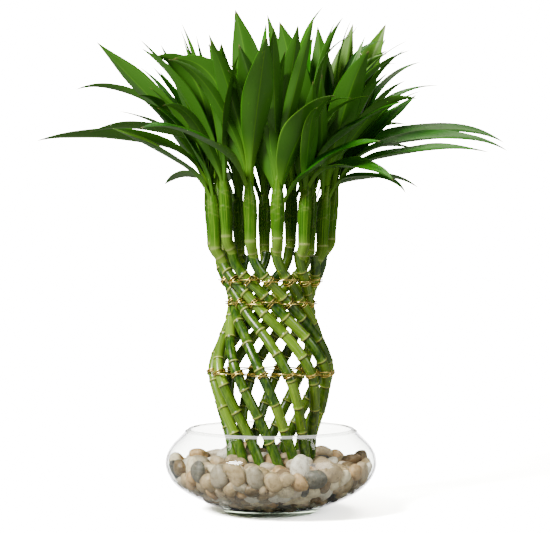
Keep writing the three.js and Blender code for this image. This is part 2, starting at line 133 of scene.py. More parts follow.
def mesh_piece(name, points, faces, material, values=None):
    """A smooth closed mesh from points in millimetres, with named values for its points."""
    mesh = bpy.data.meshes.new(name)
    mesh.from_pydata([Vector(point) * MM for point in points], [], faces)
    mesh.polygons.foreach_set("use_smooth", [True] * len(mesh.polygons))
    for key, column in (values or {}).items():
        is_vector = hasattr(column[0], "__len__")
        attribute = mesh.attributes.new(key, "FLOAT_VECTOR" if is_vector else "FLOAT", "POINT")
        flat = [part for value in column for part in value] if is_vector else column
        attribute.data.foreach_set("vector" if is_vector else "value", flat)
    mesh.materials.append(material)
    mesh.validate()
    piece = bpy.data.objects.new(name, mesh)
    bpy.context.scene.collection.objects.link(piece)
    return piece


def loft_faces(rings, sides, first=0):
    """The faces of a closed tube of so many rings of points, flat at both ends."""
    faces = [tuple(first + i for i in reversed(range(sides)))]
    for r in range(rings - 1):
        low = first + r * sides
        for i in range(sides):
            j = (i + 1) % sides
            faces.append((low + i, low + j, low + sides + j, low + sides + i))
    faces.append(tuple(first + (rings - 1) * sides + i for i in range(sides)))
    return faces


def lathe(profile, sides):
    """Points and faces of a profile of (radius, height), turned round. Its ends lie on the axis."""
    points, faces = [Vector((0, 0, profile[0][1]))], []
    for radius, height in profile[1:-1]:
        for i in range(sides):
            angle = 2 * pi * i / sides
            points.append(Vector((radius * cos(angle), radius * sin(angle), height)))
    points.append(Vector((0, 0, profile[-1][1])))
    last = len(points) - 1
    for i in range(sides):
        j = (i + 1) % sides
        faces.append((0, 1 + j, 1 + i))
        for r in range(len(profile) - 3):
            low = 1 + r * sides
            faces.append((low + i, low + j, low + sides + j, low + sides + i))
        faces.append((last, last - sides + i, last - sides + j))
    return points, faces


def new_material(name):
    """A material, its shader, and functions that add a node and that link two sockets."""
    material = bpy.data.materials.new(name)
    material.use_nodes = True
    tree = material.node_tree
    shader = tree.nodes["Principled BSDF"]

    def add(kind, settings=None, **inputs):
        return add_node(tree, kind, settings, inputs)

    return material, shader, add, tree.links.new


def add_node(tree, kind, settings, inputs):
    """Adds a node; an input is another node's output, or a plain value."""
    node = tree.nodes.new(kind)
    for key, value in (settings or {}).items():
        setattr(node, key, value)
    for key, value in inputs.items():
        index = int(key[2:]) if key.startswith("in") and key[2:].isdigit() else None
        socket = node.inputs[index] if index is not None else node.inputs[key.replace("_", " ")]
        if isinstance(value, bpy.types.NodeSocket):
            tree.links.new(value, socket)
        else:
            socket.default_value = value
    return node


def ramp(add, value, stops, interpolation="LINEAR"):
    """The colour at a value on a ramp of (place, colour) stops; a bare number is a grey."""
    node = add("ShaderNodeValToRGB", in0=value)
    node.color_ramp.interpolation = interpolation
    elements = node.color_ramp.elements
    while len(elements) < len(stops):
        elements.new(0.5)
    for element, (place, colour) in zip(elements, stops):
        element.position = place
        element.color = (*colour, 1) if isinstance(colour, tuple) else (colour, colour, colour, 1)
    return node.outputs["Color"]


def blend(add, mask, under, over, kind="MIX"):
    """Two colours mixed by a mask: where it is 1, the second one shows."""
    settings = {"data_type": "RGBA", "blend_type": kind}
    return add("ShaderNodeMix", settings, in0=mask, in6=under, in7=over).outputs[2]


def stored(add, name, output="Fac"):
    """A value that a mesh holds for each of its points."""
    return add("ShaderNodeAttribute", {"attribute_name": name}).outputs[output]


def finish_glass(glass, add, link, surface):
    """Lets the lamps' light through a glass, so that its shadow is nearly clear."""
    shadow = add("ShaderNodeLightPath").outputs["Is Shadow Ray"]
    clear = add("ShaderNodeBsdfTransparent", Color=SHADOW_COLOUR).outputs[0]
    mix = add("ShaderNodeMixShader", in0=shadow, in1=surface, in2=clear)
    link(mix.outputs[0], glass.node_tree.nodes["Material Output"].inputs["Surface"])


glass, glass_shader, add, link = new_material("clear_glass")
glass_shader.inputs["Roughness"].default_value = 0.0
glass_shader.inputs["IOR"].default_value = 1.03
glass_shader.inputs["Transmission Weight"].default_value = 1.0
glass_shader.inputs["Coat Weight"].default_value = 0.7
glass_shader.inputs["Coat Roughness"].default_value = 0.0
glass_shader.inputs["Coat IOR"].default_value = 1.5
grazing = add("ShaderNodeLayerWeight", Blend=0.5)
edge_mask = add(
    "ShaderNodeMapRange",
    {"interpolation_type": "SMOOTHSTEP"},
    Value=grazing.outputs["Facing"],
    From_Min=EDGE_START,
    From_Max=1,
)
edge_tint = add("ShaderNodeBsdfTransparent", Color=EDGE_COLOUR)
edged = add(
    "ShaderNodeMixShader",
    in0=edge_mask.outputs["Result"],
    in1=glass_shader.outputs[0],
    in2=edge_tint.outputs[0],
)
finish_glass(glass, add, link, edged.outputs[0])
# The foot is green and darker: the glass's own tint, and painted shade.
in_bowl = add("ShaderNodeTexCoord")
place_in_bowl = add("ShaderNodeSeparateXYZ", Vector=in_bowl.outputs["Object"])
fade = add(
    "ShaderNodeMapRange",
    Value=place_in_bowl.outputs["Z"],
    From_Min=FOOT_FADE[0],
    From_Max=FOOT_FADE[1],
)
link(blend(add, fade.outputs["Result"], FOOT_TINT_AND_SHADE, WALL_COLOUR), glass_shader.inputs["Base Color"])

# The lip's partly white, scattering material is a painted highlight on the glass.
lip_glass, lip_shader, add, link = new_material("lip_glass")
lip_shader.inputs["Base Color"].default_value = LIP_PAINTED_HIGHLIGHT
lip_shader.inputs["Roughness"].default_value = 0.08
lip_shader.inputs["IOR"].default_value = 1.04
lip_shader.inputs["Transmission Weight"].default_value = 0.6
lip_shader.inputs["Coat Weight"].default_value = 1
finish_glass(lip_glass, add, link, lip_shader.outputs[0])

lip_radius = BOWL_WALL / 2
lip_middle = outer_wall(BOWL_HEIGHT) + Vector((-lip_radius, -lip_radius))
lip_angles = [pi * (LIP_ARC[0] + LIP_ARC[1] * i / LIP_STEPS) for i in range(LIP_STEPS + 1)]
floor_edge = Vector((through(BOWL_OUTLINE, 1, BOWL_FLOOR) - BOWL_WALL, BOWL_FLOOR))
profile = [Vector((0, 0))] + [Vector(corner) for corner in FOOT_CORNER]
profile += [outer_wall(height) for height in np.linspace(*OUTER_WALL)]
profile += [lip_middle + lip_radius * Vector((cos(angle), sin(angle))) for angle in lip_angles]
profile += [inner_wall(height) for height in np.linspace(*INNER_WALL)]
profile += [floor_edge + Vector(corner) for corner in FLOOR_CORNER]
profile.append(Vector((0, BOWL_FLOOR)))
bowl = mesh_piece("bowl", *lathe(profile, BOWL_SIDES), glass)
bowl.data.materials.append(lip_glass)
for face in bowl.data.polygons:
    face.material_index = int(face.center.z > LIP_START * MM)
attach(bowl, "root")
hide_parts("glass_bowl")


# ---- The canes' routes ----
# Every cane follows the same twisted cage, a step further round than the one before it. The canes
# were cut to slightly different heights.

# Height, the cage's radius there, and how far round, in degrees, a cane is from where it ends.
CAGE = [
    (7, 35, 183),
    (32, 36.5, 170),
    (60, 38.5, 155),
    (80, 41.5, 143),
    (107, 50, 129),
    (135, 55.5, 116),
    (155, 51, 104),
    (172, 43.5, 89),
    (190, 38, 64),
    (206, 37, 40),
    (222, 43, 18),
    (237, 48.5, 5),
    (258, 50.5, 0),
]
CANE_COUNT = 14
CANE_RADIUS = 4.9
CANE_FOOT = 7
CANE_TOP = 250
CANE_TOP_SPREAD = 6
FIRST_AZIMUTH = -87.5
AZIMUTH_SPREAD = 1.2
JOINT_SPACING = 27
FIRST_JOINT = (0.3, 1)  # the least and the most of a spacing below a cane's first joint


class Seeded:
    """Random numbers from 0 to 1, always the same for the same seed, as in the part's source."""

    MODULUS = 2147483647

    def __init__(self, seed):
        self.state = (seed * 69621 + 12345) % self.MODULUS
        self()
        self()

    def __call__(self):
        self.state = self.state * 16807 % self.MODULUS
        return self.state / self.MODULUS


class Cane:
    def __init__(self, index):
        draw = Seeded(index + 1)
        self.index = index
        jitter = AZIMUTH_SPREAD * (2 * draw() - 1)
        self.azimuth = radians(FIRST_AZIMUTH + 360 / CANE_COUNT * index + jitter)
        self.top = CANE_TOP + CANE_TOP_SPREAD * (2 * draw() - 1)
        self.first_joint = JOINT_SPACING * (FIRST_JOINT[0] + (FIRST_JOINT[1] - FIRST_JOINT[0]) * draw())
        self.outward = Vector((cos(self.azimuth), sin(self.azimuth), 0))

    def point(self, height):
        radius = through(CAGE, 1, height)
        azimuth = self.azimuth + radians(through(CAGE, 2, height))
        return Vector((radius * cos(azimuth), radius * sin(azimuth), height))


canes = [Cane(index) for index in range(CANE_COUNT)]


# ---- Pebbles ----
# River pebbles, cream, beige, tan and grey with a few dark ones, poured in round the canes. They lie
# flat against the glass and flat on top.

PEBBLE_COUNT = 740
PEBBLE_SEED = 11
PEBBLE_RADII = (4.5, 8.8)
PEBBLE_SORTING = 1.5  # the higher, the fewer large ones
PEBBLE_PROPORTIONS = (1.32, 1.02, 0.74)
PEBBLE_STRAY = (0.9, 1.1)  # how far a stone's sizes stray from these proportions
PEBBLE_TOP = 55  # no stone's middle is higher
POUR_RADIUS = 80
POUR_HEIGHTS = (14, 150)
SETTLING_STEPS = 360
FALLING_SHARE = 0.8  # of the steps; in the others the stones only settle
FALL = 0.8  # in one step
SETTLE = 0.15  # in one step, once they only settle
STONE_CONTACT = 0.97  # the share of their radii at which two stones touch
CANE_CONTACT = 0.85  # the share of its radius at which a stone touches a cane
EASE = 0.7  # the share of an overlap that one step undoes
GLASS_GAP = 0.9
FLOOR_GAP = 0.5
WALL_SAMPLES = 76
CANE_SAMPLES = (5, 90, 35)  # lowest, highest, how many
GLASS_REACH = (1.6, 3)  # radii, and millimetres more, within which a stone lies against the glass
OUTER_TILT = 0.077
INNER_TILT = 0.3
STONE_CUTS = 4
STONE_SQUARENESS = (0.8, 1)  # the lower, the flatter its sides
LUMPS = 3  # waves over each stone
LUMP_HEIGHT = 0.06
LUMP_RATE = 1.7
LUMP_PHASES = 6.28
GRAIN_SPREAD = 4000  # each stone takes its grain from a place of its own
STONE_COLOURS = [
    (0.00, (0.44, 0.33, 0.18)),
    (0.12, (0.86, 0.75, 0.52)),
    (0.24, (0.26, 0.18, 0.10)),
    (0.33, (0.54, 0.42, 0.26)),
    (0.43, (0.96, 0.91, 0.78)),
    (0.53, (0.17, 0.12, 0.06)),
    (0.60, (0.36, 0.31, 0.22)),
    (0.70, (0.15, 0.145, 0.12)),
    (0.78, (0.55, 0.36, 0.17)),
    (0.87, (0.045, 0.046, 0.042)),
    (0.92, (0.70, 0.60, 0.46)),
]
MOTTLES = [(0.32, (0.5, 0.43, 0.34)), (0.5, (0.92, 0.89, 0.84)), (0.7, (1.1, 1.1, 1.08))]
FLECKS = [(0.36, (0.5, 0.46, 0.42)), (0.46, (1.0, 1.0, 1.0))]
VEINS = [(0.485, 0), (0.5, 1), (0.515, 0)]
VEIN_COLOUR = (0.45, 0.36, 0.24, 1)

rng = np.random.default_rng(PEBBLE_SEED)


def settled_stones():
    """Middles and radii of stones that fell into the bowl round the canes and came to rest."""
    smallest, largest = PEBBLE_RADII
    radii = smallest + (largest - smallest) * rng.uniform(0, 1, PEBBLE_COUNT) ** PEBBLE_SORTING
    angle = rng.uniform(0, 2 * pi, PEBBLE_COUNT)
    spread = POUR_RADIUS * np.sqrt(rng.uniform(0, 1, PEBBLE_COUNT))
    heights = rng.uniform(*POUR_HEIGHTS, PEBBLE_COUNT)
    places = np.stack([spread * np.cos(angle), spread * np.sin(angle), heights], 1)
    half_thickness = radii * PEBBLE_PROPORTIONS[2]
    wall_heights = np.linspace(BOWL_FLOOR, BOWL_HEIGHT, WALL_SAMPLES)
    walls = np.array([inner_wall(height) for height in wall_heights])
    cane_heights = np.linspace(*CANE_SAMPLES)
    routes = [np.array([cane.point(height)[:2] for height in cane_heights]) for cane in canes]
    touch = radii[:, None] + radii[None, :]
    for step in range(SETTLING_STEPS):
        places[:, 2] -= FALL if step < SETTLING_STEPS * FALLING_SHARE else SETTLE
        apart = places[:, None, :] - places[None, :, :]
        distance = np.linalg.norm(apart, axis=2) + np.eye(PEBBLE_COUNT) * 1e3  # far from itself
        push = np.clip(touch * STONE_CONTACT - distance, 0, None) / distance * 0.5
        places += (apart * push[:, :, None]).sum(1) * EASE
        for route in routes:
            near = np.stack([np.interp(places[:, 2], cane_heights, route[:, k]) for k in (0, 1)], 1)
            off = places[:, :2] - near
            gap = np.linalg.norm(off, axis=1)
            need = np.clip(radii * CANE_CONTACT + CANE_RADIUS - gap, 0, None)
            places[:, :2] += off / gap[:, None] * need[:, None]
        out = np.hypot(places[:, 0], places[:, 1])
        wall = np.interp(places[:, 2], walls[:, 1], walls[:, 0])
        slope = np.interp(places[:, 2] + 1, walls[:, 1], walls[:, 0]) - wall
        square = 1 / np.sqrt(1 + slope**2)
        inset = np.clip(out - wall + (half_thickness + GLASS_GAP) / square, 0, None) * square
        places[:, :2] -= (places[:, :2] / out[:, None]) * (inset * square)[:, None]
        places[:, 2] += inset * square * slope
        places[:, 2] = np.maximum(places[:, 2], BOWL_FLOOR + half_thickness + FLOOR_GAP)
    return places, radii


def stone_turn(place, radius):
    """How a stone lies: its flat side faces the glass beside it, or else up."""
    out = hypot(place[0], place[1])
    rise = (inner_wall(place[2] + 2) - inner_wall(place[2] - 2)).normalized()
    to_glass = Vector((place[0] / out * rise[1], place[1] / out * rise[1], -rise[0]))
    is_outer = inner_wall(place[2])[0] - out < radius * GLASS_REACH[0] + GLASS_REACH[1]
    loose = Vector(rng.normal(0, OUTER_TILT if is_outer else INNER_TILT, 3))
    facing = ((to_glass if is_outer else Vector((0, 0, 1))) + loose).normalized()
    turn = facing.to_track_quat("Z", "Y").to_matrix()
    return turn @ Matrix.Rotation(rng.uniform(0, 2 * pi), 3, "Z")


def unit_sphere(cuts):
    """Points and faces of a finely cut icosahedron."""
    bpy.ops.mesh.primitive_ico_sphere_add(subdivisions=cuts, radius=1)
    ball = bpy.context.object
    points = np.array([vertex.co for vertex in ball.data.vertices])
    faces = [tuple(face.vertices) for face in ball.data.polygons]
    bpy.data.objects.remove(ball)
    return points, faces


pebble, pebble_shader, add, link = new_material("river_pebble")
in_stone = stored(add, "grain", "Vector")
mottle = add("ShaderNodeTexNoise", Vector=in_stone, Scale=220, Detail=5, Roughness=0.6)
speckle = add("ShaderNodeTexNoise", Vector=in_stone, Scale=1500, Detail=3, Roughness=0.7)
veins = add("ShaderNodeTexNoise", Vector=in_stone, Scale=70, Detail=3, Distortion=1.4)
stone = ramp(add, stored(add, "tone"), STONE_COLOURS, "CONSTANT")
stone = blend(add, 0.8, stone, ramp(add, mottle.outputs["Fac"], MOTTLES), "MULTIPLY")
stone = blend(add, 0.55, stone, ramp(add, speckle.outputs["Fac"], FLECKS), "MULTIPLY")
veined = blend(add, ramp(add, veins.outputs["Fac"], VEINS), stone, VEIN_COLOUR)
link(blend(add, 0.45, stone, veined), pebble_shader.inputs["Base Color"])
pebble_shader.inputs["Roughness"].default_value = 0.42
pebble_shader.inputs["Specular IOR Level"].default_value = 0.4
pits = add("ShaderNodeBump", Height=speckle.outputs["Fac"], Strength=0.12, Distance=0.0006)
link(pits.outputs["Normal"], pebble_shader.inputs["Normal"])

ball_points, ball_faces = unit_sphere(STONE_CUTS)
stone_points, stone_faces, tones, grains = [], [], [], []
places, radii = settled_stones()
for place, radius in zip(places, radii):
    if place[2] > PEBBLE_TOP:
        continue
    sizes = radius * np.array(PEBBLE_PROPORTIONS) * rng.uniform(*PEBBLE_STRAY, 3)
    shape = np.sign(ball_points) * np.abs(ball_points) ** rng.uniform(*STONE_SQUARENESS)
    for _ in range(LUMPS):
        wave = rng.normal(0, LUMP_RATE, 3)
        phase = rng.uniform(0, LUMP_PHASES)
        shape = shape * (1 + LUMP_HEIGHT * np.sin(ball_points @ wave + phase))[:, None]
    turn = np.array(stone_turn(place, radius))
    first = len(stone_points)
    shaped = (shape * sizes) @ turn.T + place
    stone_points.extend(shaped.tolist())
    stone_faces.extend(tuple(first + i for i in face) for face in ball_faces)
    tones.extend([rng.uniform(0, 1)] * len(shaped))
    grains.extend(((shape * sizes + rng.uniform(0, GRAIN_SPREAD, 3)) * MM).tolist())
values = {"tone": tones, "grain": grains}
pebbles = mesh_piece("pebbles", stone_points, stone_faces, pebble, values)
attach(pebbles, "root")
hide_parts("pebble_bed")


# ---- Canes ----
# Green stems, nearly 10 mm thick, with a raised cream ring scar at each joint where a leaf once
# sat. The skin is smooth, faintly striped along the cane and darker below each joint. The cut at the
# top has dried out pale.

JOINT_RISE = 0.6
JOINT_EDGE = 1.2
JOINT_CLEARANCE = 5
JOINT_START = 61
STUMP = 4
WIRED_HEIGHTS = [134, 200, 221]
CANE_SIDES = 20
CANE_STEP = 3
CUT_EDGE = 0.5
CUT_REACH = 0.01  # sections this near the top are the cut
SCAR_SECTIONS = (-3, -1.9, -1.3, -0.9, -0.5, -0.2, 0.2, 0.5, 0.9, 1.3)
SCAR_WIDTH = 0.7
BAND_DROP = 1.2
BAND_WIDTH = 0.9
BAND_STRENGTH = 0.9
SKIN_SHIFT = 7.3  # sets one cane's stripes apart from the next one's
TINT_SEED = 900
PALEST_TINT = 0.95
PALE_RARITY = 2.4
CANE_GREENS = [(0.3, (0.003, 0.024, 0.0004)), (0.5, (0.010, 0.056, 0.001)), (0.7, (0.045, 0.15, 0.003))]
PALE_GREENS = [(0.3, (0.08, 0.22, 0.005)), (0.5, (0.25, 0.46, 0.02)), (0.7, (0.52, 0.68, 0.08))]
BLOTCHES = [(0.42, 0), (0.7, 0.6)]
BLOTCH_COLOUR = (0.16, 0.30, 0.012, 1)
BAND_COLOUR = (0.035, 0.045, 0.004, 1)
SCAR_COLOUR = (0.56, 0.60, 0.12, 1)
CUT_COLOUR = (0.42, 0.40, 0.22, 1)


def joint_heights(cane):
    """The heights of its ring scars above the pebbles: evenly spaced, clear of the wires."""
    heights = []
    travelled, wanted = 0, cane.first_joint
    height = JOINT_START
    while height < cane.top - STUMP:
        travelled += (cane.point(height + 1) - cane.point(height)).length
        is_wired = any(abs(wire - height) < JOINT_CLEARANCE for wire in WIRED_HEIGHTS)
        if travelled > wanted and not is_wired:
            heights.append(height)
            wanted = travelled + JOINT_SPACING
        height += 1
    return heights


def ring_round(centre, along, radius, sides):
    """A ring of points square to a path, its first point away from the middle of the plant."""
    out = Vector((centre.x, centre.y, 0))
    out = (out - along * out.dot(along)).normalized()
    across = along.cross(out)
    angles = [2 * pi * i / sides for i in range(sides)]
    return [centre + out * radius * cos(angle) + across * radius * sin(angle) for angle in angles]


def skin_at(along, sides, seed):
    """Coordinates that run along a stem and round it, for its stripes."""
    angles = [2 * pi * i / sides for i in range(sides)]
    return [(cos(angle) + seed, sin(angle) + seed, along * MM) for angle in angles]


# Stripes along a stem or a leaf: noise on coordinates that are squeezed across it.
stripes_group = bpy.data.node_groups.new("stripes", "ShaderNodeTree")
for name in ("Vector", "Squeeze"):
    stripes_group.interface.new_socket(name, in_out="INPUT", socket_type="NodeSocketVector")
for name in ("Detail", "Roughness"):
    stripes_group.interface.new_socket(name, in_out="INPUT", socket_type="NodeSocketFloat")
stripes_group.interface.new_socket("Stripes", in_out="OUTPUT", socket_type="NodeSocketFloat")
given = stripes_group.nodes.new("NodeGroupInput")
squeezed = add_node(
    stripes_group,
    "ShaderNodeVectorMath",
    {"operation": "MULTIPLY"},
    {"in0": given.outputs["Vector"], "in1": given.outputs["Squeeze"]},
)
streaks = add_node(
    stripes_group,
    "ShaderNodeTexNoise",
    None,
    {
        "Vector": squeezed.outputs["Vector"],
        "Scale": 1.0,
        "Detail": given.outputs["Detail"],
        "Roughness": given.outputs["Roughness"],
    },
)
put_out = stripes_group.nodes.new("NodeGroupOutput")
stripes_group.links.new(streaks.outputs["Fac"], put_out.inputs["Stripes"])


def stripes(add, squeeze, detail, roughness):
    """The stripes on a material's own coordinates, which its mesh holds as skin."""
    node = add("ShaderNodeGroup", {"node_tree": stripes_group}, Vector=stored(add, "skin", "Vector"))
    node.inputs["Squeeze"].default_value = squeeze
    node.inputs["Detail"].default_value = detail
    node.inputs["Roughness"].default_value = roughness
    return node.outputs["Stripes"]


cane_skin, cane_shader, add, link = new_material("cane_skin")
streaks = stripes(add, (7, 7, 31), 6, 0.62)
blotches = add("ShaderNodeTexNoise", Scale=24, Detail=3)
dark = ramp(add, streaks, CANE_GREENS)
pale = ramp(add, streaks, PALE_GREENS)
cane_colour = blend(add, stored(add, "tint"), dark, pale)
cane_colour = blend(add, ramp(add, blotches.outputs["Fac"], BLOTCHES), cane_colour, BLOTCH_COLOUR)
cane_colour = blend(add, stored(add, "low_band"), cane_colour, BAND_COLOUR)
cane_colour = blend(add, stored(add, "scar"), cane_colour, SCAR_COLOUR)
cane_colour = blend(add, stored(add, "cut"), cane_colour, CUT_COLOUR)
link(cane_colour, cane_shader.inputs["Base Color"])
cane_shader.inputs["Roughness"].default_value = 0.28
cane_shader.inputs["Specular IOR Level"].default_value = 0.62
ribs = add("ShaderNodeBump", Height=streaks, Strength=0.15, Distance=0.0005)
link(ribs.outputs["Normal"], cane_shader.inputs["Normal"])

for cane in canes:
    joints = joint_heights(cane)
    heights = list(np.arange(CANE_FOOT, cane.top, CANE_STEP)) + [cane.top - CUT_EDGE, cane.top]
    for joint in joints:
        heights += [joint + offset for offset in SCAR_SECTIONS]
    heights = sorted({round(float(height), 3) for height in heights if height <= cane.top})
    points, values = [], {"skin": [], "scar": [], "cut": [], "low_band": [], "tint": []}
    travelled = 0
    draw = Seeded(TINT_SEED + cane.index)
    tints = [PALEST_TINT * draw() ** PALE_RARITY for _ in range(len(joints) + 1)]
    for k, height in enumerate(heights):
        centre = cane.point(height)
        if k:
            travelled += (centre - cane.point(heights[k - 1])).length
        along = (cane.point(height + 0.5) - cane.point(height - 0.5)).normalized()
        nearest = min((abs(height - joint) for joint in joints), default=CANE_TOP)
        above = min((joint - height for joint in joints if joint > height), default=CANE_TOP)
        is_cut = cane.top - height <= CUT_REACH
        radius = CANE_RADIUS + JOINT_RISE * max(0, 1 - (nearest / JOINT_EDGE) ** 2)
        points += ring_round(centre, along, radius - CUT_EDGE * is_cut, CANE_SIDES)
        values["skin"] += skin_at(travelled, CANE_SIDES, cane.index * SKIN_SHIFT)
        values["scar"] += [max(0, 1 - nearest / SCAR_WIDTH)] * CANE_SIDES
        values["tint"] += [tints[sum(joint < height for joint in joints)]] * CANE_SIDES
        values["cut"] += [float(is_cut)] * CANE_SIDES
        band = BAND_STRENGTH * max(0, 1 - abs(above - BAND_DROP) / BAND_WIDTH)
        values["low_band"] += [band] * CANE_SIDES
    name = f"cane_{cane.index + 1:02d}"
    faces = loft_faces(len(heights), CANE_SIDES)
    piece = mesh_piece(name + "_skin", points, faces, cane_skin, values)
    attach(piece, "root")
    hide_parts(name)


# ---- Shoots ----
# A stem grows from the bud below each cut, steps out beside the stump and rises, wrapped in the
# sheaths of its leaves. The leaves are long, glossy and softly folded along the midrib, with a
# paler underside and a drawn-out tip that is dry at its very end.

STEM_HEIGHT = 76
STEM_START = 10
STEM_STEP = 7.5
STEM_STEP_HEIGHT = 16
STEM_FLARE = 6
STEM_OUTLINE = [(0, 4.6), (0.2, 5.5), (0.7, 6), (1, 2.6)]
STEM_SIDES = 18
STEM_RINGS = 60
STEM_SCARS = (0.07, 0.2)
STEM_SCAR_STRAY = 0.05
STEM_SCAR_WIDTH = 0.02
STEM_SCAR_RISE = 0.35
SHEATH_EDGE = 0.6
SHEATH_TAPER = 0.16
SHEATH_SLANT = 0.06
SHEATH_LINE = 0.92  # how near a sheath's edge its pale line begins
LEAF_OUTLINE = [
    (0, 0.3),
    (0.2, 0.3),
    (0.34, 0.74),
    (0.5, 1),
    (0.66, 0.95),
    (0.82, 0.6),
    (0.93, 0.22),
    (1, 0),
]
LEAF_ROOT_OFFSET = 2
LEAF_KNEE = 0.5
LEAF_STEPS = 24
LEAF_FOLD = (34, 12)
LEAF_TRIES = 40
LEAF_THICKNESS = 0.7
LEAF_EDGE = 0.12
LEAF_COLUMNS = 5  # points from the midrib to an edge, the midrib not counted
LEAF_CUP = 1.35
LEAF_WAVE = 0.09
LEAF_WAVES = (1.5, 3)  # the fewest and the most waves along an edge
THICK_FOOT = (0.3, 1.2)  # how far up a leaf it is thicker, and how fast that grows downward

# How far a leaf strays from its pose, in degrees and millimetres: a set leaf not at all at the first
# attempt, any other leaf once this far, and both by STRAY_STEP of it more at each further attempt.
STRAY_STEP = 1 / 8
HEADING_STRAY = 14
LEAN_STRAY = 8
DROOP_STRAY = 8
SWAY_STRAY = 12
ROLL_STRAY = 16
LENGTH_STRAY = 8
WIDTH_STRAY = 1.5
TIP_MATCH = 0.1  # how near a leaf's tip has to be to one in the frame

# Young leaves: how many, and the least and the most of each draw, with angles in degrees. An angle
# given once is the most.
YOUNG_LEAVES = (3, 6)  # on a shoot at the left and at the right
YOUNG_LENGTHS = ((110, 158), (125, 182))  # the same
YOUNG_TRIES = 24
YOUNG_WIDTHS = (11, 21)
YOUNG_ROOTS = (0.5, 0.95)
YOUNG_HEADING = 75
YOUNG_SHEATH_LEANS = (3, 9)
YOUNG_BLADE_LEANS = (4, 42)
YOUNG_UPRIGHTNESS = 1.3  # the higher, the more of them lean little
YOUNG_DROOP = 75
YOUNG_SWAY = 16
YOUNG_ROLL = 70

# What sets one leaf's or stem's draws and stripes apart from the next one's.
YOUNG_SEED = 300
WAVE_SEED = 500
STEM_SEED = 700
STEM_SHIFT = (3.1, 40)
BLADE_SHIFT = 1.7
TINT_SHIFT = 9

LEAF_GREENS = [(0.3, (0.004, 0.045, 0.0006)), (0.5, (0.013, 0.13, 0.001)), (0.72, (0.045, 0.27, 0.0015))]
LEAF_TINTS = [(0, (0.6, 0.7, 0.8)), (0.35, (0.9, 0.95, 1)), (0.7, (1.4, 1.2, 1.5)), (1, (2.4, 1.5, 4))]
OLIVE_TINTS = [(0.55, 0), (0.9, 0.6)]
OLIVE_GREEN = (0.085, 0.155, 0.018, 1)
UNDERSIDE = (0.040, 0.14, 0.010, 1)
MIDRIB_AND_EDGE = [(0, 0.5), (0.07, 0), (0.93, 0), (1, 0.75)]
RIB_GREEN = (0.12, 0.34, 0.015, 1)
LEAF_FOOT = [(0, 0.9), (0.12, 0.6), (0.36, 0)]
FOOT_GREEN = (0.13, 0.31, 0.012, 1)
DRY_TIP = [(0.955, 0), (0.99, 0.9)]
DRY_COLOUR = (0.14, 0.10, 0.04, 1)
STEM_GREENS = [(0.3, (0.010, 0.060, 0.0008)), (0.5, (0.045, 0.16, 0.0025)), (0.72, (0.20, 0.38, 0.02))]
STEM_FOOT = [(0, 0.7), (0.35, 0)]
STEM_FOOT_GREEN = (0.30, 0.46, 0.06, 1)
MARK_COLOUR = (0.46, 0.50, 0.16, 1)

# A shoot's leaves, oldest first: the share of the stem's height where one leaves it, its heading
# from straight outward, how far its sheath and its blade lean, its droop, its length and its width.
HABIT = [
    (0.5, 6, 12, 75, 30, 165, 27),
    (0.58, -50, 12, 66, 30, 170, 29),
    (0.66, 52, 10, 58, 25, 165, 30),
    (0.74, -20, 8, 40, 15, 165, 31),
    (0.8, 118, 7, 34, 20, 150, 29),
    (0.86, -122, 7, 26, 15, 150, 28),
    (0.93, 30, 3, 10, 10, 155, 26),
]
